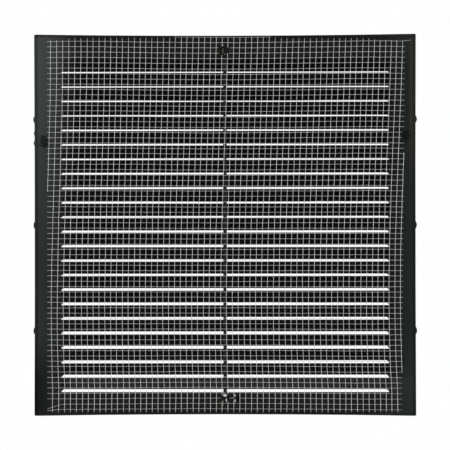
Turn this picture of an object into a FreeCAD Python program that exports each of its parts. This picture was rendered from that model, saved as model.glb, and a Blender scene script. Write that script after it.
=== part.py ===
import FreeCAD, Part
import math
import os
from typing import NamedTuple

# Louvred ventilation grille: a moulded panel with a wire mesh melted onto its wall side.
# X runs across the panel as seen from the wall, +Y points outdoors, +Z points up.
# The origin is the middle of the whole grille. Sizes are in millimetres.

# Panel outline
WIDTH = 400.0
HEIGHT = 400.0
SIDE_BOW = 0.5          # how far each upright edge pulls in at mid height
END_BOW = 1.7           # how far the top and bottom edges pull in at mid width
CORNER_RADIUS = 1.5
PLATE = 3.0             # wall of the flat border
FRONT_EDGE_BEVEL = 0.8

# Raised rim that stands on the wall and leaves room for the mesh
RIM_WIDTH = 1.1
RIM_HEIGHT = 2.0
RIM_EDGE_BEVEL = 0.3

# Louvres
SIDE_BORDER = 27.3      # outline to the end of the opening
END_BORDER = 24.0       # least border above and below the louvres
LOUVRE_PITCH = 15.24
LOUVRE_DEPTH = 12.0     # border's rear face to the louvre lips
BLADE_SLOPE = 45.0      # fall of each blade, in degrees
BLADE_HEIGHT = 2.8      # blade wall measured upright
SILL_RADIUS = 0.85
LIP_BEVEL = 0.7
CHEEK_WALL = 1.6
CHEEK_INSET = 3.2       # how far each cheek leans in from the border to the lip
FIELD_RISE = 0.95       # louvre field sits this much over the panel's middle
TOP_EASE = 1.1          # how far the top edge of the opening is cut back

# Central web that ties the blades together
WEB_WIDTH = 3.6
WEB_SETBACK = 2.0       # web stops this far behind the lips

# Round nubs on the upright edges, which snap into a surround
NUB_RADIUS = 6.3
NUB_PROUD = 1.6
NUB_SPACING = 110.85

# Welded wire mesh, cut by hand and laid a little askew
WIRE = 0.65
UPRIGHT_PITCH = 6.0955
UPRIGHT_START = 3.15    # first upright wire right of the middle
LEVEL_PITCH = 5.5675
LEVEL_START = 1.95      # first level wire above the middle
MESH_MARGIN_LEFT = 13.9
MESH_MARGIN_RIGHT = 11.6
TAIL_MARGIN = 0.9       # cut wire ends to the inside of the rim, top and bottom
LEVEL_TAIL = 1.6        # least length of an upright's end past the last level wire
LEAN = 5.8              # the next five say how the wires wander across the panel
BEND = 4.3
CURL = 3.35
PINCH = 1.75
SAG = 1.58
UPRIGHT_STATIONS = 5    # places along a wire where its direction changes
LEVEL_STATIONS = 4
STRAY_HALF = 49.0       # half length of the last strand, left where the cut wandered

# Places where the mesh is melted into the border
MELT_HEIGHT = 1.5
MELT_CROWN = 0.6        # crown of a melted patch as a share of its foot
MELT_SIDES = 16


class Melt(NamedTuple):
    """Melted patch: the edge it is near, its place along it, its inset and its half sizes."""

    edge: str
    along: float
    inset: float
    half_width: float
    half_height: float


MELTS = (
    Melt("top", 0.3, 15.3, 7.2, 5.7),
    Melt("foot", 0.8, 16.2, 2.6, 4.9),
    Melt("foot", 10.8, 16.2, 2.4, 4.8),
    Melt("left", 87.6, 10.1, 4.4, 7.0),
    Melt("right", 94.0, 8.1, 3.6, 5.2),
)

# Depth levels, from the wall outwards
TOTAL_DEPTH = RIM_HEIGHT + LOUVRE_DEPTH
Y_WALL = -TOTAL_DEPTH / 2
Y_BACK = Y_WALL + RIM_HEIGHT
Y_FRONT = Y_BACK + PLATE
Y_LIP = Y_BACK + LOUVRE_DEPTH
Y_WEB = Y_LIP - WEB_SETBACK

# Louvre field
OPENING_HALF = WIDTH / 2 - SIDE_BORDER
LOUVRE_COUNT = int((HEIGHT - 2 * END_BORDER) / LOUVRE_PITCH)
FIRST_SILL = -LOUVRE_COUNT * LOUVRE_PITCH / 2 + FIELD_RISE
FIELD_TOP = FIRST_SILL + LOUVRE_COUNT * LOUVRE_PITCH

# Louvre section: rounding takes the sharp sill down, and a bevel lifts the sharp lip
SLOPE = math.radians(BLADE_SLOPE)
LIP_RISE = LOUVRE_PITCH - LOUVRE_DEPTH * math.tan(SLOPE) - BLADE_HEIGHT
SILL_LOSS = SILL_RADIUS * (1 / math.tan((math.pi / 2 - SLOPE) / 2) - 1)
AIR_GAP = LIP_RISE + SILL_LOSS + LIP_BEVEL * math.sin(SLOPE)

X_AXIS = FreeCAD.Vector(1, 0, 0)
Z_AXIS = FreeCAD.Vector(0, 0, 1)


def prism(points, direction):
    """Extrude a closed polygon along a vector."""
    wire = Part.makePolygon([*points, points[0]])
    return Part.Face(wire).extrude(direction)


def prism_across(profile, half_width):
    """Extrude a profile of (y, z) points over the width -half_width to half_width."""
    points = [FreeCAD.Vector(-half_width, y, z) for y, z in profile]
    return prism(points, X_AXIS * (2 * half_width))


def edges_at(shape, test):
    """Edges whose two end points both pass a test."""
    return [edge for edge in shape.Edges if all(test(v.Point) for v in edge.Vertexes)]


def near(value, target):
    """Say whether a coordinate lies on a level."""
    return math.isclose(value, target, abs_tol=1e-6)


def edge_x(z):
    """Half width of the bowed outline at a height."""
    return WIDTH / 2 - SIDE_BOW * (1 - (2 * z / HEIGHT) ** 2)


def edge_z(x):
    """Half height of the bowed outline at a place across."""
    return HEIGHT / 2 - END_BOW * (1 - (2 * x / WIDTH) ** 2)


def outline(inset, y_low, y_high):
    """Solid of the bowed outline, moved in by an inset, between two depths."""
    right = WIDTH / 2
    top = HEIGHT / 2
    corners = [(-right, -top), (right, -top), (right, top), (-right, top)]
    middles = [(0, END_BOW - top), (right - SIDE_BOW, 0), (0, top - END_BOW), (SIDE_BOW - right, 0)]
    edges = []
    for index, middle in enumerate(middles):
        start = corners[index]
        end = corners[(index + 1) % len(corners)]
        through = [FreeCAD.Vector(x, y_low, z) for x, z in (start, middle, end)]
        edges.append(Part.Arc(*through).toShape())
    sharp = Part.Face(Part.Wire(edges))
    core = sharp.makeOffset2D(-inset - CORNER_RADIUS)
    return core.makeOffset2D(CORNER_RADIUS).extrude(FreeCAD.Vector(0, y_high - y_low, 0))


def room(wall, low, high):
    """Block between the cheeks, which lean inwards, widened by a wall and between two heights."""
    back = OPENING_HALF + wall
    front = back - CHEEK_INSET
    plan = [(-back, Y_BACK), (back, Y_BACK), (front, Y_LIP), (-front, Y_LIP)]
    points = [FreeCAD.Vector(x, y, low) for x, y in plan]
    return prism(points, Z_AXIS * (high - low))


def make_border():
    """Flat border with its rim, rounded edges and opening."""
    body = outline(0, Y_WALL, Y_FRONT)
    body = body.makeChamfer(FRONT_EDGE_BEVEL, edges_at(body, lambda p: near(p.y, Y_FRONT)))
    body = body.makeChamfer(RIM_EDGE_BEVEL, edges_at(body, lambda p: near(p.y, Y_WALL)))
    body = body.cut(outline(RIM_WIDTH, Y_WALL - RIM_HEIGHT, Y_BACK))
    low = FIRST_SILL - SILL_LOSS
    body = body.cut(room(0, low, FIELD_TOP - BLADE_HEIGHT))
    sill = edges_at(body, lambda p: near(p.y, Y_BACK) and near(p.z, low))
    return body.makeFillet(SILL_RADIUS, sill)


def make_hood():
    """One louvre over a sharp sill at z = 0: sloping blade with rounded edges and two cheeks."""
    lip = LIP_RISE
    top = LOUVRE_PITCH
    blade = prism_across([(Y_BACK, top), (Y_BACK, top - BLADE_HEIGHT), (Y_LIP, lip),
                          (Y_LIP, lip + BLADE_HEIGHT)], OPENING_HALF + CHEEK_WALL)
    drip = edges_at(blade, lambda p: near(p.y, Y_LIP) and near(p.z, lip))
    blade = blade.makeChamfer(LIP_BEVEL, drip)
    sill = edges_at(blade, lambda p: near(p.y, Y_BACK) and near(p.z, top))
    blade = blade.makeFillet(SILL_RADIUS, sill)
    foot = -SILL_LOSS
    cheek = prism_across([(Y_BACK, foot), (Y_BACK, top), (Y_LIP - LIP_BEVEL, lip + 2 * LIP_BEVEL)],
                         OPENING_HALF + CHEEK_WALL)
    outside = room(CHEEK_WALL, foot, top)
    cheeks = cheek.common(outside).cut(room(0, foot, top))
    return blade.common(outside).fuse(cheeks)


def make_ease():
    """Wedge that cuts the top edge of the opening back under the border."""
    top = FIELD_TOP - BLADE_HEIGHT
    wedge = prism_across([(Y_BACK, top), (Y_BACK, top + TOP_EASE),
                          (Y_BACK + TOP_EASE, top - TOP_EASE * math.tan(SLOPE))], OPENING_HALF)
    return wedge.common(room(0, top - 2 * TOP_EASE, top + 2 * TOP_EASE))


def make_web():
    """Upright web behind the lips, cut off under the top blade."""
    top = FIELD_TOP - BLADE_HEIGHT
    low = FIRST_SILL - SILL_LOSS
    profile = [(Y_BACK, low), (Y_BACK, top),
               (Y_WEB, top - math.tan(SLOPE) * (Y_WEB - Y_BACK)), (Y_WEB, low)]
    return prism_across(profile, WEB_WIDTH / 2)


def make_nubs():
    """Three round nubs on each upright edge, as thick as the border."""
    nubs = []
    for side in (-1, 1):
        for step in (-1, 0, 1):
            z = step * NUB_SPACING
            x = side * (edge_x(z) + NUB_PROUD - NUB_RADIUS)
            foot = FreeCAD.Vector(x, Y_BACK, z)
            nubs.append(Part.makeCylinder(NUB_RADIUS, PLATE, foot, FreeCAD.Vector(0, 1, 0)))
    return nubs


def hexagon(x, y, z, across):
    """Closed six-sided section with flats facing the wall and the border."""
    corner = WIRE / math.sqrt(3)
    points = []
    for index in range(6):
        turn = math.radians(60 * index)
        side = corner * math.cos(turn)
        depth = corner * math.sin(turn)
        offset = FreeCAD.Vector(0, depth, side) if across else FreeCAD.Vector(side, depth, 0)
        points.append(FreeCAD.Vector(x, y, z) + offset)
    return Part.makePolygon([*points, points[0]])


def drift(x, z):
    """Sideways wander of the upright wires at a place on the panel."""
    u = 2 * x / WIDTH
    v = 2 * z / HEIGHT
    return LEAN * v + BEND * v ** 2 - CURL * v ** 3 + PINCH * u * v ** 2


def rise(x, z):
    """Upward bow of the level wires towards their ends, reversed below the middle."""
    u = 2 * x / WIDTH
    v = 2 * z / HEIGHT
    return SAG * u ** 2 * v


def spread(low, high, stations):
    """Evenly spaced stations from one end of a wire to the other."""
    return [low + (high - low) * index / (stations - 1) for index in range(stations)]


def longest_run(inside, low, high):
    """Longest stretch of a wire whose steps of about 1 mm all pass a test."""
    steps = math.ceil(high - low)
    best = (low, low)
    start = None
    for step in range(steps + 1):
        z = low + (high - low) * step / steps
        if not inside(z):
            start = None
            continue
        start = z if start is None else start
        best = max(best, (start, z), key=lambda run: run[1] - run[0])
    return best


def rim_room(x):
    """Height at which the cut wires end under the rim at a place across."""
    return edge_z(x) - RIM_WIDTH - TAIL_MARGIN


def make_uprights():
    """Upright wires, nearer the wall, kept inside the left and right cuts."""
    y = Y_BACK - 1.5 * WIRE
    left = MESH_MARGIN_LEFT - WIDTH / 2
    right = WIDTH / 2 - MESH_MARGIN_RIGHT
    count = int(WIDTH / UPRIGHT_PITCH)
    wires = []
    for index in range(-count, count):
        base = UPRIGHT_START + UPRIGHT_PITCH * index
        reach = rim_room(base)
        low, high = longest_run(lambda z: left <= base + drift(base, z) <= right, -reach, reach)
        if high - low < 2 * LEVEL_PITCH:
            continue
        sections = [hexagon(base + drift(base, z), y, z, False)
                    for z in spread(low, high, UPRIGHT_STATIONS)]
        wires.append(Part.makeLoft(sections, True, True))
    return wires


def make_levels():
    """Level wires, lying on the border and the sills, with one short stray strand on top."""
    y = Y_BACK - 0.5 * WIRE
    left = MESH_MARGIN_LEFT - WIDTH / 2
    right = WIDTH / 2 - MESH_MARGIN_RIGHT
    reach = rim_room(0) - LEVEL_TAIL
    last = math.floor((reach - LEVEL_START) / LEVEL_PITCH)
    first = -math.floor((reach + LEVEL_START) / LEVEL_PITCH)
    wires = []
    for index in range(first, last + 1):
        base = LEVEL_START + LEVEL_PITCH * index
        sections = [hexagon(x, y, base + rise(x, base), True)
                    for x in spread(left, right, LEVEL_STATIONS)]
        wires.append(Part.makeLoft(sections, True, True))
    stray = LEVEL_START + LEVEL_PITCH * (last + 1)
    if stray < edge_z(0) - RIM_WIDTH - WIRE / 2:
        sections = [hexagon(x, y, stray, True) for x in (-STRAY_HALF, STRAY_HALF)]
        wires.append(Part.makeLoft(sections, True, True))
    return wires


def melt_centre(melt):
    """Middle of a melted patch on the border, measured in from the edge it is near."""
    if melt.edge == "top":
        return melt.along, edge_z(melt.along) - melt.inset
    if melt.edge == "foot":
        return melt.along, melt.inset - edge_z(melt.along)
    side = 1 if melt.edge == "right" else -1
    return side * (edge_x(melt.along) - melt.inset), melt.along


def make_melts(wires):
    """Low melted patches with oval feet, with the wires that run through them left free."""
    patches = []
    for melt in MELTS:
        x, z = melt_centre(melt)
        rings = []
        for share, y in ((1.0, Y_BACK), (MELT_CROWN, Y_BACK - MELT_HEIGHT)):
            points = []
            for index in range(MELT_SIDES):
                turn = 2 * math.pi * index / MELT_SIDES
                across = share * melt.half_width * math.cos(turn)
                up = share * melt.half_height * math.sin(turn)
                points.append(FreeCAD.Vector(x + across, y, z + up))
            rings.append(Part.makePolygon([*points, points[0]]))
        patch = Part.makeLoft(rings, True, True)
        held = [wire for wire in wires if wire.BoundBox.intersect(patch.BoundBox)]
        patches.append(patch.cut(held) if held else patch)
    return patches


def make_panel(wires):
    """The whole moulding as one solid."""
    hood = make_hood()
    hoods = []
    for index in range(LOUVRE_COUNT):
        copy = hood.copy()
        copy.translate(Z_AXIS * (FIRST_SILL + index * LOUVRE_PITCH))
        hoods.append(copy)
    panel = make_border().fuse([*hoods, make_web(), *make_nubs(), *make_melts(wires)])
    return panel.cut(make_ease()).removeSplitter()


def main():
    """Build both pieces and write one file each."""
    os.makedirs("parts", exist_ok=True)
    wires = make_levels() + make_uprights()
    panel = make_panel(wires)
    mesh = Part.makeCompound(wires)
    print("clear gap", round(AIR_GAP, 3), "field", round(FIRST_SILL, 2), round(FIELD_TOP, 2))
    for name, shape in (("louvre_panel", panel), ("wire_mesh", mesh)):
        box = shape.BoundBox
        print(name, "valid", shape.isValid(), "solids", len(shape.Solids), "faces",
              len(shape.Faces), "volume", round(shape.Volume, 1), "box",
              [round(n, 3) for n in (box.XMin, box.XMax, box.YMin, box.YMax, box.ZMin, box.ZMax)])
        shape.exportStep(f"parts/{name}.step")


main()
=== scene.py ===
"""Dress a louvred ventilation grille: black moulding, galvanised wire mesh and melted fixings."""

import logging
import math
import random
from dataclasses import dataclass, field
from enum import Enum

import bmesh
import bpy
from mathutils import Matrix, Vector, noise


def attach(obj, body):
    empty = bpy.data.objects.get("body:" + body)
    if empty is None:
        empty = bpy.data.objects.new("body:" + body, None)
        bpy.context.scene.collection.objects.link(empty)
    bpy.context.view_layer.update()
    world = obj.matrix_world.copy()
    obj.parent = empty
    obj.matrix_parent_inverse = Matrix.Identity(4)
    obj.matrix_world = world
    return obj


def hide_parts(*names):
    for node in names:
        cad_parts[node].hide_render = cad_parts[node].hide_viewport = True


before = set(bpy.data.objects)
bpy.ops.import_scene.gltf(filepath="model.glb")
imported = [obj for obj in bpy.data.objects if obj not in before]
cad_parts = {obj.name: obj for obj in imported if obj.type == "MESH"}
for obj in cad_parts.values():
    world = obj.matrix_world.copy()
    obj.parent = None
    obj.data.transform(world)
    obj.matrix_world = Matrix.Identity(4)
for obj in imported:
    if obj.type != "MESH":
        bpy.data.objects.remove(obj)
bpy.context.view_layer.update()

LOG = logging.getLogger("grille")
MM = 0.001
PANEL = "louvre_panel"
MESH = "wire_mesh"
BODY = "root"
WHITE = (1.0, 1.0, 1.0, 1.0)
COARSE_SHARE = 0.6
NOISE_SPAN = (0.3, 0.7)
LUMP_SEED_STEP = 3.1

# In mm: half the panel's width, the border's wall side, how deep the edge of a melted patch is sunk
# in it, and the greatest height of a patch, which stays under the panel's rim
HALF = 200.0
BORDER_FACE = -5.0
MELT_SINK = 0.03
MELT_LIMIT = 1.93


class Way(Enum):
    """Direction in which a wire of the mesh runs."""

    UPRIGHT = "uprights"
    LEVEL = "levels"


class Graph:
    """Small helper that adds and joins nodes in one node tree."""

    def __init__(self, tree: bpy.types.NodeTree) -> None:
        """Keep the tree.

        Args:
            tree: The node tree to fill.
        """
        self.tree = tree

    def add(self, kind: str, **settings: object) -> bpy.types.Node:
        """Add a node and set its properties.

        Args:
            kind: Node type name without its ShaderNode prefix.
            settings: Properties of the node.

        Returns:
            The new node.
        """
        node = self.tree.nodes.new(kind if kind.startswith("Node") else f"ShaderNode{kind}")
        for key, value in settings.items():
            setattr(node, key, value)
        return node

    def put(self, socket: bpy.types.NodeSocket, value: object) -> None:
        """Set an input to a constant, or link it to an output.

        Args:
            socket: The input.
            value: A constant or an output socket.
        """
        if isinstance(value, bpy.types.NodeSocket):
            self.tree.links.new(value, socket)
        else:
            socket.default_value = value

    def feed(self, node: bpy.types.Node, **inputs: object) -> bpy.types.Node:
        """Set or link a node's inputs, with spaces in their names written as underscores.

        Args:
            node: The node to feed.
            inputs: A constant or an output socket for each input.

        Returns:
            The same node.
        """
        for name, value in inputs.items():
            self.put(node.inputs[name.replace("_", " ")], value)
        return node

    def math(self, operation: str, first: object, second: object = 0.0) -> bpy.types.NodeSocket:
        """Add a math node.

        Args:
            operation: Blender's name of the operation.
            first: First value or socket.
            second: Second value or socket.

        Returns:
            The node's output.
        """
        node = self.add("Math", operation=operation)
        for socket, value in zip(node.inputs, (first, second)):
            self.put(socket, value)
        return node.outputs[0]

    def blend(self, share: object, low: object, high: object) -> bpy.types.NodeSocket:
        """Mix two colours.

        Args:
            share: How much of the second colour shows.
            low: First colour.
            high: Second colour.

        Returns:
            The mixed colour.
        """
        node = self.add("Mix", data_type="RGBA")
        for socket, value in zip((node.inputs[0], node.inputs[6], node.inputs[7]), (share, low, high)):
            self.put(socket, value)
        return node.outputs[2]


def new_group(name: str, inputs: dict[str, float | None]) -> tuple[bpy.types.NodeTree, Graph, dict]:
    """Start a shader node group.

    Args:
        name: Name of the group.
        inputs: Input names with their default values, None for a vector.

    Returns:
        The group, a graph on it and its input sockets by name.
    """
    group = bpy.data.node_groups.new(name, "ShaderNodeTree")
    for label, value in inputs.items():
        kind = "NodeSocketVector" if value is None else "NodeSocketFloat"
        socket = group.interface.new_socket(name=label, in_out="INPUT", socket_type=kind)
        if value is not None:
            socket.default_value = value
    graph = Graph(group)
    entry = graph.add("NodeGroupInput")
    return group, graph, {label: entry.outputs[label] for label in inputs}


def close_group(group: bpy.types.NodeTree, graph: Graph, outputs: dict[str, bpy.types.NodeSocket]) -> None:
    """Give a group its float outputs.

    Args:
        group: The node group.
        graph: The graph on it.
        outputs: Sockets to put out, by name.
    """
    for label in outputs:
        group.interface.new_socket(name=label, in_out="OUTPUT", socket_type="NodeSocketFloat")
    leave = graph.add("NodeGroupOutput")
    for label, socket in outputs.items():
        graph.tree.links.new(socket, leave.inputs[label])


def make_grain_group() -> bpy.types.NodeTree:
    """Build the fine surface grain that all finishes share.

    Returns:
        The node group.
    """
    group, graph, entry = new_group("fine_grain", {"Vector": None, "Scale": 900.0, "Coarse": 40.0})
    fine = graph.add("TexNoise")
    graph.feed(fine, Vector=entry["Vector"], Scale=entry["Scale"], Detail=3.0, Roughness=0.6)
    coarse = graph.add("TexNoise")
    graph.feed(coarse, Vector=entry["Vector"], Scale=entry["Coarse"], Detail=4.0, Roughness=0.55)
    height = graph.math("ADD", fine.outputs[0], graph.math("MULTIPLY", coarse.outputs[0], COARSE_SHARE))
    close_group(group, graph, {"Height": height, "Coarse Tone": coarse.outputs[0]})
    return group


def make_patch_group() -> bpy.types.NodeTree:
    """Build a mask of soft-edged patches, for haze, smudges and tarnish.

    Returns:
        The node group.
    """
    sockets = {"Vector": None, "Scale": 8.0, "Level": 0.5, "Softness": 0.15}
    group, graph, entry = new_group("soft_patches", sockets)
    warp = graph.add("TexNoise")
    graph.feed(warp, Vector=entry["Vector"], Scale=entry["Scale"], Detail=5.0, Roughness=0.6, Distortion=0.4)
    ramp = graph.add("MapRange", interpolation_type="SMOOTHSTEP")
    low = graph.math("SUBTRACT", entry["Level"], entry["Softness"])
    high = graph.math("ADD", entry["Level"], entry["Softness"])
    graph.feed(ramp, Value=warp.outputs[0], From_Min=low, From_Max=high)
    close_group(group, graph, {"Mask": ramp.outputs[0]})
    return group


def make_painted_light_group() -> bpy.types.NodeTree:
    """Build a mask that grows from one place to another along X, may stop again, and fades along Z.

    Returns:
        The node group.
    """
    sockets = {"Vector": None, "From X": 0.165, "To X": 0.2, "From Z": -0.2, "To Z": 0.2, "Least": 0.0,
               "Stop X": 1.0}
    group, graph, entry = new_group("painted_light_band", sockets)
    place = graph.feed(graph.add("SeparateXYZ"), Vector=entry["Vector"])
    across = graph.add("MapRange", interpolation_type="SMOOTHSTEP")
    graph.feed(across, Value=place.outputs[0], From_Min=entry["From X"], From_Max=entry["To X"])
    up = graph.add("MapRange", interpolation_type="SMOOTHSTEP")
    graph.feed(up, Value=place.outputs[2], From_Min=entry["From Z"], From_Max=entry["To Z"],
               To_Min=entry["Least"])
    kept = graph.math("LESS_THAN", place.outputs[0], entry["Stop X"])
    band = graph.math("MULTIPLY", across.outputs[0], kept)
    close_group(group, graph, {"Mask": graph.math("MULTIPLY", band, up.outputs[0])})
    return group


@dataclass
class Effects:
    """Node groups that the finishes use."""

    grain: bpy.types.NodeTree = field(default_factory=make_grain_group)
    patches: bpy.types.NodeTree = field(default_factory=make_patch_group)
    painted_light: bpy.types.NodeTree = field(default_factory=make_painted_light_group)


@dataclass(frozen=True)
class PaintedLight:
    """Band of painted light and shade in the base colour, which grows between two places across and two
    heights, in metres.

    Its mask has its least share at the first height, and it ends at the stop across.
    """

    across: tuple[float, float]
    up: tuple[float, float]
    least: float
    colour: tuple[float, float, float]
    stop: float = 1.0


@dataclass(frozen=True)
class Finish:
    """Surface finish made of a base, patches of a second tone and a fine grain."""

    name: str
    base: tuple[float, float, float]
    tone: tuple[float, float, float]
    tone_scale: float
    tone_level: float
    tone_softness: float
    roughness: tuple[float, float]
    grain_scale: float
    coarse_scale: float
    bump: float
    bump_depth: float
    metallic: float = 0.0
    # Share of the base colour at a full attribute: painted shade in a melt's groove, and the darkening of a
    # scorched patch
    groove_shade_and_char: float = 1.0
    specular: float = 0.5
    # Bands of painted light and shade in the base colour
    painted_lights: tuple[PaintedLight, ...] = ()

    def material(self, effects: Effects) -> bpy.types.Material:
        """Make the material.

        Args:
            effects: The shared node groups.

        Returns:
            The material.
        """
        material = bpy.data.materials.new(self.name)
        material.use_nodes = True
        graph = Graph(material.node_tree)
        shader = material.node_tree.nodes["Principled BSDF"]
        place = graph.add("TexCoord").outputs["Object"]
        patches = graph.add("Group", node_tree=effects.patches)
        graph.feed(patches, Vector=place, Scale=self.tone_scale, Level=self.tone_level,
                   Softness=self.tone_softness)
        grain = graph.add("Group", node_tree=effects.grain)
        graph.feed(grain, Vector=place, Scale=self.grain_scale, Coarse=self.coarse_scale)
        colour = graph.blend(patches.outputs["Mask"], (*self.base, 1.0), (*self.tone, 1.0))
        # Paint the bands of light and shade into the colour
        for painted_light in self.painted_lights:
            mask = graph.add("Group", node_tree=effects.painted_light)
            graph.feed(mask, Vector=place, From_X=painted_light.across[0], To_X=painted_light.across[1], From_Z=painted_light.up[0],
                       To_Z=painted_light.up[1], Least=painted_light.least, Stop_X=painted_light.stop)
            colour = graph.blend(mask.outputs["Mask"], colour, (*painted_light.colour, 1.0))
        # Painted shade in a melt's groove, and a scorched patch's darkening, from the mesh's attribute
        if self.groove_shade_and_char < 1.0:
            depth = graph.add("Attribute", attribute_name="groove_shade_and_char").outputs["Fac"]
            colour = graph.blend(depth, colour, (*(channel * self.groove_shade_and_char for channel in self.base), 1.0))
        low, high = self.roughness
        gloss = graph.add("MapRange")
        graph.feed(gloss, Value=grain.outputs["Coarse Tone"], From_Min=NOISE_SPAN[0],
                   From_Max=NOISE_SPAN[1], To_Min=low, To_Max=high)
        bump = graph.add("Bump")
        graph.feed(bump, Strength=self.bump, Distance=self.bump_depth, Height=grain.outputs["Height"])
        graph.feed(shader, Base_Color=colour, Roughness=gloss.outputs[0], Metallic=self.metallic,
                   Specular_IOR_Level=self.specular, Normal=bump.outputs[0])
        return material


# Bands of painted sheen, highlight and shade on the black plastic, in metres
PAINTED_LIGHTS = (
    # Left cheek and web: painted light on their faces
    PaintedLight(across=(-0.1728, -0.1723), up=(-0.2, 0.2), least=1.0, colour=(0.0190, 0.0190, 0.0165), stop=-0.1694),
    PaintedLight(across=(-0.0022, -0.0017), up=(-0.2, 0.2), least=1.0, colour=(0.0200, 0.0215, 0.0185), stop=0.0019),
    # Top border, lowest louvre, foot border: the borders painted lighter than the louvres, and painted light
    # from below on the lowest louvre's inner face
    PaintedLight(across=(-1.0, -0.9), up=(0.1745, 0.1775), least=0.0, colour=(0.0115, 0.0135, 0.0120)),
    PaintedLight(across=(-1.0, -0.9), up=(-0.1585, -0.1610), least=0.0, colour=(0.0300, 0.0320, 0.0290)),
    PaintedLight(across=(-1.0, -0.9), up=(-0.1738, -0.1752), least=0.0, colour=(0.0105, 0.0130, 0.0100)),
    # Left border: painted sheen all along it, more towards the top, painted shade at the foot
    PaintedLight(across=(-0.150, -0.203), up=(-0.20, 0.20), least=1.0, colour=(0.0300, 0.0365, 0.0340)),
    PaintedLight(across=(-0.150, -0.203), up=(-0.06, 0.20), least=0.0, colour=(0.068, 0.080, 0.077)),
    PaintedLight(across=(-0.150, -0.203), up=(-0.11, -0.17), least=0.0, colour=(0.006, 0.009, 0.006)),
    # Right border: painted sheen, and a strip of painted sheen along the upper half of its edge
    PaintedLight(across=(0.160, 0.203), up=(-0.10, -0.20), least=0.75, colour=(0.0265, 0.0350, 0.0285)),
    PaintedLight(across=(0.1925, 0.1955), up=(0.02, 0.10), least=0.0, colour=(0.0380, 0.0370, 0.0320)),
    # Rim at the top and at the foot: painted highlight on its edge
    PaintedLight(across=(-1.0, -0.9), up=(0.1970, 0.1990), least=0.0, colour=(0.030, 0.032, 0.030)),
    PaintedLight(across=(-1.0, -0.9), up=(-0.1970, -0.1990), least=0.0, colour=(0.026, 0.029, 0.025)),
)
PLASTIC = Finish(
    "black_moulded_plastic", base=(0.0010, 0.0014, 0.0011), tone=(0.0022, 0.0030, 0.0022),
    tone_scale=9.0, tone_level=0.54, tone_softness=0.16, roughness=(0.36, 0.46), grain_scale=1400.0,
    coarse_scale=55.0, bump=0.12, bump_depth=0.0002, specular=0.17, painted_lights=PAINTED_LIGHTS)
ZINC = Finish(
    "galvanised_wire", base=(0.83, 0.84, 0.82), tone=(0.56, 0.57, 0.55),
    tone_scale=160.0, tone_level=0.62, tone_softness=0.12, roughness=(0.32, 0.50), grain_scale=2600.0,
    coarse_scale=300.0, bump=0.25, bump_depth=0.0001, metallic=0.35)
COATED = Finish(
    "coated_wire", base=(0.120, 0.128, 0.108), tone=(0.190, 0.200, 0.175),
    tone_scale=300.0, tone_level=0.55, tone_softness=0.15, roughness=(0.30, 0.50), grain_scale=1800.0,
    coarse_scale=420.0, bump=0.4, bump_depth=0.0002)
# Melted plastic; its grooves are painted dark as shade, at a tenth of the base colour
SOFT_MELT = Finish(
    "melted_plastic", base=(0.0040, 0.0066, 0.0034), tone=(0.0140, 0.0200, 0.0095),
    tone_scale=330.0, tone_level=0.56, tone_softness=0.07, roughness=(0.26, 0.46), grain_scale=1800.0,
    coarse_scale=420.0, bump=0.5, bump_depth=0.0003, groove_shade_and_char=0.1, specular=0.16)
# Scorched plastic also takes the bands of painted light and shade
SCORCHED = Finish(
    "scorched_plastic", base=(0.0014, 0.0036, 0.0018), tone=(0.0030, 0.0052, 0.0032),
    tone_scale=9.0, tone_level=0.54, tone_softness=0.16, roughness=(0.42, 0.60), grain_scale=1500.0,
    coarse_scale=600.0, bump=0.35, bump_depth=0.0003, groove_shade_and_char=0.9, specular=0.15, painted_lights=PAINTED_LIGHTS)


@dataclass(frozen=True)
class Wander:
    """Smooth wander of the wires across the panel, as powers of the place on it, in mm."""

    terms: tuple[tuple[int, int, float], ...]

    def at(self, x: float, z: float) -> float:
        """Give the wander at a place.

        Args:
            x: Place across the panel in mm.
            z: Place up the panel in mm.

        Returns:
            The wander in mm.
        """
        u = x / HALF
        v = z / HALF
        return sum(size * u ** i * v ** j for i, j, size in self.terms)


@dataclass(frozen=True)
class Kink:
    """Bend of one level wire outside a place across, as a fall in mm for each mm."""

    row: int
    start: float
    fall: float


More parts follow.
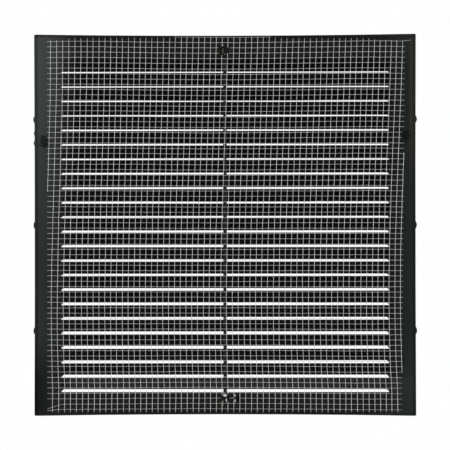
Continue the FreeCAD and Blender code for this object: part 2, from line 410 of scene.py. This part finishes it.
@dataclass
class WireMesh:
    """Welded wire mesh, cut by hand and laid askew on the border and the sills."""

    # Places of the wires before they wander, in mm, and the numbers of the outermost ones
    upright_pitch: float = 6.1635
    upright_start: float = -1.722
    level_pitch: float = 5.6385
    level_start: float = -0.882
    first_column: int = -29
    last_column: int = 32
    first_row: int = -35
    last_row: int = 35
    # Sizes and depths of the wires and of the welds between them, in mm
    upright_radius: float = 0.272
    level_radius: float = 0.212
    nugget: tuple[float, float, float] = (0.60, 0.48, 0.60)
    sides: int = 6
    upright_y: float = -5.975
    level_y: float = -5.325
    nugget_y: float = -5.76
    weld_sizes: tuple[float, float] = (0.85, 1.12)
    weld_seed: int = 31
    # How unevenly the wires lie, in mm
    jitter: float = 0.05
    wire_shift: float = 0.10
    level_share: float = 0.6
    ripple: tuple[float, float] = (0.22, 0.16)
    ripple_steps: tuple[float, float] = (0.9, 0.11)
    ripple_layers: tuple[float, float] = (3.0, 9.0)
    slack: float = 0.04
    settling_rounds: int = 4
    least_welds: int = 3
    seed: int = 7
    # Where the mesh was cut, in mm, and how far the cut ends stand out, as shares of a cell
    first_column_foot: float = 31.0
    last_column_reach: tuple[float, float] = (-154.7, 78.0)
    stray_reach: tuple[float, float] = (-52.5, 48.5)
    long_tail_end: float = 194.6
    long_tail_rise: float = 0.9
    short_tail: float = 0.12
    short_tail_zone: float = 160.0
    tail_limits: tuple[float, float] = (0.10, 1.6)
    top_line: tuple[tuple[float, float], ...] = (
        (-190.0, 193.9), (-168.0, 194.3), (-160.0, 196.4), (-60.0, 196.4), (-52.5, 197.0), (48.5, 197.0),
        (56.0, 195.8), (150.0, 195.6), (162.0, 193.5), (196.0, 193.5))
    foot_line: float = -196.3
    left_line: float = -186.7
    right_line: float = 186.95
    right_slant: float = 0.010
    # Bends and swelling near the foot, and the smooth wander of the whole mesh
    foot_bend: tuple[float, float] = (-172.0, 0.060)
    foot_swell: tuple[float, float] = (0.18, -0.18)
    swell_zone: tuple[float, float] = (-166.0, -178.0)
    sideways: Wander = Wander(((0, 0, -7.66), (0, 1, 5.70), (0, 2, 4.32), (1, 0, -2.22), (0, 3, -3.12),
                               (1, 2, 1.74), (4, 0, -4.56), (2, 0, 2.71), (1, 1, 0.33), (2, 3, -0.94)))
    upward: Wander = Wander(((0, 0, 3.04), (0, 1, -2.71), (2, 1, 3.17), (1, 0, -0.23), (2, 0, 1.11),
                             (4, 1, -3.03), (4, 0, -1.01), (2, 3, 0.94)))
    kinks: tuple[Kink, ...] = (Kink(-34, -172.0, 0.34), Kink(-35, -176.0, 0.15))
    crossings: dict[tuple[int, int], tuple[float, float]] = field(default_factory=dict)

    def top_cut(self, x: float) -> float:
        """Give the height at which the uprights end above.

        Args:
            x: Place across in mm.

        Returns:
            The height in mm.
        """
        for (low, start), (high, end) in zip(self.top_line, self.top_line[1:]):
            if x <= high:
                return start + (end - start) * max(0.0, (x - low) / (high - low))
        return self.top_line[-1][1]

    def side_cut(self, row: int, z: float, right: bool) -> float:
        """Place in mm at which a level wire ends.

        Args:
            row: Number of the level wire.
            z: Its height in mm.
            right: Whether it is its right end.

        Returns:
            The place across in mm.
        """
        if row == self.last_row:
            stray_left, stray_right = self.stray_reach
            return stray_right if right else stray_left
        if not right:
            return self.left_line
        if row == self.last_row - 1:
            return self.long_tail_end
        return self.right_line + self.right_slant * z

    def foot_share(self, z: float) -> float:
        """Share of the foot's swelling that a wire has at a height in mm."""
        start, end = self.swell_zone
        return min(1.0, max(0.0, (z - start) / (end - start)))

    def inside(self, column: int, row: int, x: float, z: float) -> bool:
        """Say whether a crossing was left when the mesh was cut.

        Args:
            column: Number of its upright wire.
            row: Number of its level wire.
            x: Place across in mm.
            z: Place up in mm.

        Returns:
            Whether it was left.
        """
        if column == self.first_column and z < self.first_column_foot:
            return False
        low, high = self.last_column_reach
        if column == self.last_column and not low < z < high:
            return False
        low, high = self.stray_reach
        return row < self.last_row or low < x < high

    def set_out(self) -> None:
        """Find every welded crossing that is left."""
        draw = random.Random(self.seed)
        column_range = range(self.first_column, self.last_column + 1)
        columns = {column: draw.gauss(0.0, self.wire_shift) for column in column_range}
        row_range = range(self.first_row, self.last_row + 1)
        rows = {row: draw.gauss(0.0, self.wire_shift * self.level_share) for row in row_range}
        bends = {kink.row: kink for kink in self.kinks}
        along, beside = self.ripple_steps
        sway_layer, lift_layer = self.ripple_layers
        bend_start, bend_slope = self.foot_bend
        for column, column_shift in columns.items():
            for row, row_shift in rows.items():
                across = self.upright_start + self.upright_pitch * column + column_shift
                up = self.level_start + self.level_pitch * row + row_shift
                x, z = across, up
                for _ in range(self.settling_rounds):
                    x = across + self.sideways.at(x, z)
                    z = up + self.upward.at(x, z)
                sway = noise.noise(Vector((column * along, row * beside, sway_layer)))
                x += draw.gauss(0.0, self.jitter) + self.ripple[0] * sway
                lift = noise.noise(Vector((column * beside, row * along, lift_layer)))
                z += draw.gauss(0.0, self.jitter) + self.ripple[1] * lift
                x -= bend_slope * max(0.0, bend_start - z)
                if row in bends and x < bends[row].start:
                    z -= bends[row].fall * (bends[row].start - x)
                if self.inside(column, row, x, z):
                    self.crossings[column, row] = (x, z)

    def runs(self, way: Way) -> list[list[tuple[float, float]]]:
        """List the centre lines of the wires that run one way.

        Args:
            way: The direction of the wires.

        Returns:
            For each wire its stations as (x, z), from one cut end to the other.
        """
        draw = random.Random(self.seed + len(way.value))
        lines: dict[int, list[tuple[int, float, float]]] = {}
        for (column, row), (x, z) in sorted(self.crossings.items()):
            wire, place = (column, row) if way is Way.UPRIGHT else (row, column)
            lines.setdefault(wire, []).append((place, x, z))
        result = []
        for wire, knots in sorted(lines.items()):
            knots.sort()
            points = [(x, z) for _, x, z in knots]
            if len(points) < self.least_welds:
                continue
            stations = []
            for (x, z), (next_x, next_z) in zip(points, points[1:]):
                stations.append((x, z))
                middle_x = (x + next_x) / 2 + draw.gauss(0, self.slack)
                stations.append((middle_x, (z + next_z) / 2 + draw.gauss(0, self.slack)))
            result.append([self.tail(wire, points[0], points[1], way), *stations, points[-1],
                           self.tail(wire, points[-1], points[-2], way)])
        return result

    def tail(self, wire: int, end: tuple[float, float], inner: tuple[float, float],
             way: Way) -> tuple[float, float]:
        """Give the cut end of a wire beyond its last weld.

        Args:
            wire: Number of the wire.
            end: The last welded station.
            inner: The welded station before it.
            way: The direction of the wire.

        Returns:
            The station at the cut end.
        """
        x, z = end
        step_x, step_z = x - inner[0], z - inner[1]
        if way is Way.UPRIGHT:
            limit = self.top_cut(x) if step_z > 0 else self.foot_line
            short = wire in (self.first_column, self.last_column) and abs(z) < self.short_tail_zone
            share = self.short_tail if short else (limit - z) / step_z
        else:
            limit = self.side_cut(wire, z, step_x > 0)
            share = (limit - x) / step_x
            if wire == self.last_row - 1 and step_x > 0:
                step_z += self.long_tail_rise
        least, most = self.tail_limits
        share = min(max(share, least), most)
        return x + share * step_x, z + share * step_z

    def wires(self, way: Way) -> bpy.types.Object:
        """Model all the wires that run one way.

        Args:
            way: The direction of the wires.

        Returns:
            The finished object.
        """
        bm = bmesh.new()
        upright = way is Way.UPRIGHT
        depth = self.upright_y if upright else self.level_y
        radius = self.upright_radius if upright else self.level_radius
        swell = self.foot_swell[0] if upright else self.foot_swell[1]
        for run in self.runs(way):
            tube = bmesh.new()
            ring = bmesh.ops.create_circle(tube, cap_ends=False, segments=self.sides, radius=radius)
            edges = list({edge for vert in ring["verts"] for edge in vert.link_edges})
            bmesh.ops.spin(tube, geom=edges, cent=(0, 0, 0), axis=(0, 0, 1), dvec=(0, 0, 1), angle=0.0,
                           steps=len(run) - 1, use_duplicate=False)
            bmesh.ops.holes_fill(tube, edges=tube.edges[:], sides=self.sides)
            for vert in tube.verts:
                x, z = run[round(vert.co.z)]
                thick = 1.0 + swell * self.foot_share(z)
                side, off = vert.co.x * thick, vert.co.y * thick
                place = (x + side, depth + off, z) if upright else (x, depth + off, z + side)
                vert.co = Vector(place) * MM
            bmesh.ops.recalc_face_normals(tube, faces=tube.faces[:])
            add_mesh(bm, tube)
        return finish_piece(bm, f"mesh_{way.value}")

    def welds(self) -> bpy.types.Object:
        """Model the small nuggets where the wires are welded.

        Returns:
            The finished object.
        """
        draw = random.Random(self.seed + self.weld_seed)
        single = bmesh.new()
        bmesh.ops.create_icosphere(single, subdivisions=1, radius=1.0)
        across, deep, high = self.nugget
        bm = bmesh.new()
        for x, z in self.crossings.values():
            size = draw.uniform(*self.weld_sizes)
            nugget = single.copy()
            nugget.transform(Matrix.Translation(Vector((x, self.nugget_y, z)) * MM)
                             @ Matrix.Diagonal((across * size * MM, deep * MM, high * size * MM, 1.0)))
            add_mesh(bm, nugget)
        single.free()
        return finish_piece(bm, "mesh_welds")

    def build(self, material: bpy.types.Material) -> list[bpy.types.Object]:
        """Build both layers of wires and their welds in place of the plain ones.

        Args:
            material: The wires' material.

        Returns:
            The objects.
        """
        self.set_out()
        pieces = [*(self.wires(way) for way in Way), self.welds()]
        for piece in pieces:
            piece.data.materials.append(material)
            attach(piece, BODY)
            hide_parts(MESH)
        return pieces


class Look(Enum):
    """Finish of a melted patch."""

    SOFT = SOFT_MELT
    SCORCHED = SCORCHED


@dataclass(frozen=True)
class Swirl:
    """Layer of smooth noise over a melted patch, with its steps for each mm and its share."""

    across: float
    up: float
    layer: float
    share: float = 1.0

    def at(self, seed: float, x: float, z: float) -> float:
        """Give the noise at a place in mm on the patch that has a seed."""
        return self.share * noise.noise(Vector((x * self.across, z * self.up, seed + self.layer)))


RELIEF = (Swirl(0.45, 0.38, 0.0), Swirl(1.5, 1.1, 5.0, 0.6))
SPECKLE = (Swirl(0.5, 0.42, 23.0), Swirl(1.3, 1.1, 31.0, 0.5))
OUTLINE = Swirl(0.4, 0.4, 11.0)


@dataclass(frozen=True)
class Melt:
    """Patch where the mesh was melted into the border: a lumpy low mound, with a ridge beside a groove."""

    name: str
    look: Look
    x: float
    z: float
    half_width: float
    half_height: float
    seed: float
    height: float = 1.55
    rough: float = 0.16
    ridge: float = 0.0
    char: float = 0.0
    char_level: float = 0.95
    char_speckle: float = 0.75
    square: float = 2.0
    ragged: float = 0.16
    steep: float = 2.6
    ridge_place: float = -0.28
    groove_place: float = 0.52
    band_width: float = 0.30
    groove_depth: float = 0.15
    spread: float = 1.15
    cells: int = 56

    def relief(self, u: float, x: float, z: float) -> tuple[float, float]:
        """Give the surface's height and how deep in the groove a place is.

        Args:
            u: Place across as a share of the half width.
            x: Place across in mm.
            z: Place up in mm.

        Returns:
            The height in mm and the groove's share, which is painted as shade.
        """
        lump = sum(swirl.at(self.seed, x, z) for swirl in RELIEF)
        bank = math.exp(-((u - self.ridge_place) / self.band_width) ** 2)
        groove = math.exp(-((u - self.groove_place) / self.band_width) ** 2) if self.ridge else 0.0
        return self.height + self.rough * lump + self.ridge * bank - self.groove_depth * groove, groove

    def shade(self, x: float, z: float, rise: float) -> float:
        """Give how dark a scorched place is.

        Args:
            x: Place across in mm.
            z: Place up in mm.
            rise: Share of the full height there.

        Returns:
            The share of the dark tone.
        """
        speckle = sum(swirl.at(self.seed, x, z) for swirl in SPECKLE)
        return min(1.0, self.char * rise * max(0.0, self.char_level + self.char_speckle * speckle))

    def build(self, material: bpy.types.Material) -> bpy.types.Object:
        """Model the patch.

        Args:
            material: The melted plastic.

        Returns:
            The finished object.
        """
        bm = bmesh.new()
        bmesh.ops.create_grid(bm, x_segments=self.cells, y_segments=self.cells, size=1.0)
        groove_shade_and_char = bm.verts.layers.float.new("groove_shade_and_char")
        for vert in bm.verts:
            u, v = vert.co.x, vert.co.y
            x = self.x + u * self.half_width * self.spread
            z = self.z + v * self.half_height * self.spread
            wave = OUTLINE.at(self.seed, x, z)
            reach = (abs(u) ** self.square + abs(v) ** self.square) ** (1.0 / self.square)
            edge = 1.0 - reach * (1.0 + self.ragged * wave)
            rise = max(0.0, min(1.0, self.steep * edge))
            rise = rise * rise * (3.0 - 2.0 * rise)
            height, groove = self.relief(u, x, z)
            # The groove's share is painted shade; the char share darkens a scorched patch to its mottled base
            vert[groove_shade_and_char] = max(groove * rise, self.shade(x, z, rise))
            vert.co = Vector((x, BORDER_FACE + MELT_SINK - rise * min(height, MELT_LIMIT), z)) * MM
        hidden = (BORDER_FACE + MELT_SINK / 2) * MM
        low = [face for face in bm.faces if all(vert.co.y > hidden for vert in face.verts)]
        bmesh.ops.delete(bm, geom=low, context="FACES")
        bmesh.ops.reverse_faces(bm, faces=[face for face in bm.faces if face.normal.y > 0.0])
        piece = finish_piece(bm, self.name)
        piece.data.materials.append(material)
        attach(piece, BODY)
        return piece


MELTS = (
    Melt("melt_top", Look.SOFT, x=-1.3, z=182.4, half_width=6.0, half_height=5.8, seed=1.0, rough=0.26),
    Melt("melt_foot_left", Look.SOFT, x=0.25, z=-181.4, half_width=4.1, half_height=4.9, seed=2.0,
         ridge=0.10, square=3.0, steep=4.0),
    Melt("melt_foot_right", Look.SOFT, x=12.0, z=-181.4, half_width=3.2, half_height=4.9, seed=3.0,
         ridge=0.10, square=3.0, steep=4.0),
    Melt("melt_left", Look.SCORCHED, x=-189.5, z=87.6, half_width=4.4, half_height=7.0, seed=4.0,
         height=1.72, rough=0.14, char=0.85, ragged=0.55),
    Melt("melt_right", Look.SCORCHED, x=189.6, z=93.6, half_width=4.2, half_height=5.6, seed=5.0,
         height=1.72, rough=0.14, char=0.95, ragged=0.55),
)


@dataclass(frozen=True)
class Lump:
    """Small uneven lump: a bare knot of wire that shows through and stands in for a glint, or a bead of
    plastic.
    """

    x: float
    y: float
    z: float
    size: tuple[float, float, float]
    turn: float = 0.0
    swell: float = 0.22
    ripple: float = 1.7

    def add(self, bm: bmesh.types.BMesh, seed: float) -> None:
        """Add the lump to a mesh.

        Args:
            bm: The mesh that takes it.
            seed: Seed of its uneven surface.
        """
        matrix = (Matrix.Translation((self.x, self.y, self.z)) @ Matrix.Rotation(self.turn, 4, "Y")
                  @ Matrix.Diagonal((*self.size, 1.0)))
        ball = bmesh.ops.create_icosphere(bm, subdivisions=4, radius=1.0)["verts"]
        for vert in ball:
            scale = 1.0 + self.swell * noise.noise(vert.co * self.ripple + Vector((seed, 0.0, 0.0)))
            vert.co = (matrix @ (vert.co * scale)) * MM


# Zinc lumps for bare wire at the melts, light enough to be the melts' glossy highlights too: partly painted
# highlight
BARE_KNOTS_AND_GLINTS = (
    Lump(-2.3, -6.35, 188.4, (0.55, 0.30, 0.65)),
    Lump(-0.3, -6.52, -178.5, (2.0, 0.36, 1.5), 0.25),
    Lump(1.3, -6.52, -183.6, (0.62, 0.36, 1.9)),
    Lump(10.3, -6.52, -178.8, (0.60, 0.36, 1.5)),
    Lump(10.4, -6.52, -184.0, (0.68, 0.36, 1.35)),
)
COATED_KNOTS = (
    Lump(-1.9, -6.45, 182.4, (0.45, 0.28, 2.6), 0.10),
    Lump(0.2, -6.45, 179.0, (1.6, 0.28, 0.5)),
    Lump(-1.9, -6.45, -186.0, (0.45, 0.28, 3.4)),
)
EDGE_BEADS = (
    Lump(-199.50, -4.2, 96.4, (1.10, 1.3, 2.5)),
    Lump(-199.45, -4.2, 86.4, (1.45, 1.3, 2.8)),
)


def build_lumps(name: str, lumps: tuple[Lump, ...],
                material: bpy.types.Material) -> bpy.types.Object:
    """Model a group of lumps as one piece.

    Args:
        name: Name of the piece.
        lumps: The lumps.
        material: Its material.

    Returns:
        The finished object.
    """
    bm = bmesh.new()
    for index, lump in enumerate(lumps):
        lump.add(bm, index * LUMP_SEED_STEP)
    piece = finish_piece(bm, name)
    piece.data.materials.append(material)
    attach(piece, BODY)
    return piece


def add_mesh(bm: bmesh.types.BMesh, part: bmesh.types.BMesh) -> None:
    """Move one modelled form into another.

    Args:
        bm: The form that takes it.
        part: The form that is added and freed.
    """
    mesh = bpy.data.meshes.new("strand")
    part.to_mesh(mesh)
    part.free()
    bm.from_mesh(mesh)
    bpy.data.meshes.remove(mesh)


def finish_piece(bm: bmesh.types.BMesh, name: str) -> bpy.types.Object:
    """Turn a bmesh into a smooth-shaded object at the origin.

    Args:
        bm: The modelled form, which is freed.
        name: Name of the piece.

    Returns:
        The object, linked to the scene.
    """
    mesh = bpy.data.meshes.new(name)
    bm.to_mesh(mesh)
    bm.free()
    mesh.shade_smooth()
    piece = bpy.data.objects.new(name, mesh)
    bpy.context.scene.collection.objects.link(piece)
    return piece


@dataclass(frozen=True)
class Lamp:
    """Soft rectangular lamp that points at a target."""

    name: str
    place: tuple[float, float, float]
    size: tuple[float, float]
    power: float
    target: tuple[float, float, float] = (0.0, 0.0, 0.0)

    def build(self) -> None:
        """Add the lamp to the scene."""
        light = bpy.data.lights.new(self.name, "AREA")
        light.shape = "RECTANGLE"
        light.size, light.size_y = self.size
        light.energy = self.power
        lamp = bpy.data.objects.new(self.name, light)
        bpy.context.scene.collection.objects.link(lamp)
        lamp.location = self.place
        aim = Vector(self.target) - lamp.location
        lamp.rotation_euler = aim.to_track_quat("-Z", "Y").to_euler()


@dataclass
class Studio:
    """White studio: floor well below the grille, soft lamps, pale world and the camera."""

    floor_height: float = -0.40
    floor_half: float = 4.0
    clear_radius: float = 0.45
    fade: float = 0.30
    distance: float = 1.60
    view_width: float = 0.4720
    centre: tuple[float, float] = (0.00004, 0.00000)
    roll: float = -0.0012
    turn: float = 0.5
    back_plane: float = -0.005
    front_glow: float = 0.14
    glow_zone: tuple[float, float] = (-0.05, 0.45)
    sensor: float = 36.0
    sight: float = 50.0
    ambient: float = 0.33
    lamps: tuple[Lamp, ...] = (
        Lamp("key_lamp", (-1.75, -1.35, 0.55), (0.9, 1.1), 17.0),
        Lamp("fill_lamp", (1.75, -1.35, 0.15), (1.0, 1.2), 11.0),
    )

    def floor(self) -> None:
        """Lay a pale floor that turns to plain white away from the grille."""
        bm = bmesh.new()
        bmesh.ops.create_grid(bm, x_segments=1, y_segments=1, size=self.floor_half)
        bmesh.ops.translate(bm, verts=bm.verts[:], vec=(0, 0, self.floor_height))
        ground = finish_piece(bm, "floor")
        material = bpy.data.materials.new("pale_floor")
        material.use_nodes = True
        graph = Graph(material.node_tree)
        shader = material.node_tree.nodes["Principled BSDF"]
        graph.feed(shader, Base_Color=(0.86, 0.86, 0.86, 1.0), Roughness=0.8)
        place = graph.add("SeparateXYZ")
        graph.feed(place, Vector=graph.add("TexCoord").outputs["Object"])
        reach = graph.math("SQRT", graph.math("ADD", graph.math("POWER", place.outputs[0], 2.0),
                                              graph.math("POWER", place.outputs[1], 2.0)))
        far = graph.add("MapRange", interpolation_type="SMOOTHSTEP")
        graph.feed(far, Value=reach, From_Min=self.clear_radius, From_Max=self.clear_radius + self.fade)
        seen = graph.math("MULTIPLY", far.outputs[0], graph.add("LightPath").outputs["Is Camera Ray"])
        white = graph.feed(graph.add("Emission"), Color=WHITE, Strength=1.0)
        mix = graph.add("MixShader")
        for socket, value in zip(mix.inputs, (seen, shader.outputs[0], white.outputs[0])):
            graph.tree.links.new(value, socket)
        graph.tree.links.new(mix.outputs[0], material.node_tree.nodes["Material Output"].inputs["Surface"])
        ground.data.materials.append(material)

    def world(self) -> None:
        """Make the world white to the camera and a soft grey light from the front."""
        world = bpy.data.worlds.new("studio")
        world.use_nodes = True
        bpy.context.scene.world = world
        graph = Graph(world.node_tree)
        base = world.node_tree.nodes["Background"]
        path = graph.add("LightPath")
        aim = graph.add("SeparateXYZ")
        graph.feed(aim, Vector=graph.add("TexCoord").outputs["Generated"])
        behind = graph.add("MapRange", interpolation_type="SMOOTHSTEP")
        graph.feed(behind, Value=aim.outputs[1], From_Min=self.glow_zone[0], From_Max=self.glow_zone[1],
                   To_Min=self.front_glow, To_Max=1.0)
        shown = graph.math("ADD", path.outputs["Is Glossy Ray"], path.outputs["Is Transmission Ray"])
        dim = graph.math("MULTIPLY", behind.outputs[0], shown)
        plain = graph.math("MULTIPLY", graph.math("SUBTRACT", 1.0, shown), self.ambient)
        away = graph.math("MULTIPLY", graph.math("ADD", dim, plain),
                          graph.math("SUBTRACT", 1.0, path.outputs["Is Camera Ray"]))
        graph.feed(base, Color=WHITE, Strength=graph.math("ADD", away, path.outputs["Is Camera Ray"]))

    def camera(self) -> None:
        """Aim the camera straight at the wall side."""
        lens = bpy.data.cameras.new("camera")
        lens.sensor_width = self.sensor
        lens.lens = lens.sensor_width * self.distance / self.view_width
        lens.clip_end = self.sight
        camera = bpy.data.objects.new("camera", lens)
        bpy.context.scene.collection.objects.link(camera)
        x, z = self.centre
        camera.matrix_world = (Matrix.Translation((x, self.back_plane, z))
                               @ Matrix.Rotation(math.radians(self.turn), 4, "Z")
                               @ Matrix.Translation((0.0, -self.distance, 0.0))
                               @ Matrix.Rotation(math.radians(90.0), 4, "X")
                               @ Matrix.Rotation(self.roll, 4, "Z"))
        bpy.context.scene.camera = camera

    def build(self) -> None:
        """Set up the whole studio."""
        bpy.context.scene.view_settings.view_transform = "Standard"
        self.floor()
        self.world()
        self.camera()
        for lamp in self.lamps:
            lamp.build()


def main() -> None:
    """Build the studio, dress the moulding, lay the mesh and add the melted patches."""
    logging.basicConfig(level=logging.INFO, format="%(name)s: %(message)s")
    Studio().build()
    effects = Effects()
    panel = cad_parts[PANEL]
    panel.data.materials.clear()
    panel.data.materials.append(PLASTIC.material(effects))
    LOG.info("%s dressed as %s", PANEL, PLASTIC.name)
    zinc = ZINC.material(effects)
    pieces = WireMesh().build(zinc)
    looks = {look: look.value.material(effects) for look in Look}
    pieces += [melt.build(looks[melt.look]) for melt in MELTS]
    pieces.append(build_lumps("bare_knots_and_glints", BARE_KNOTS_AND_GLINTS, zinc))
    pieces.append(build_lumps("coated_knots", COATED_KNOTS, COATED.material(effects)))
    pieces.append(build_lumps("edge_beads", EDGE_BEADS, panel.data.materials[0]))
    for piece in pieces:
        LOG.info("%s has %d faces", piece.name, len(piece.data.polygons))


if __name__ == "__main__":
    main()
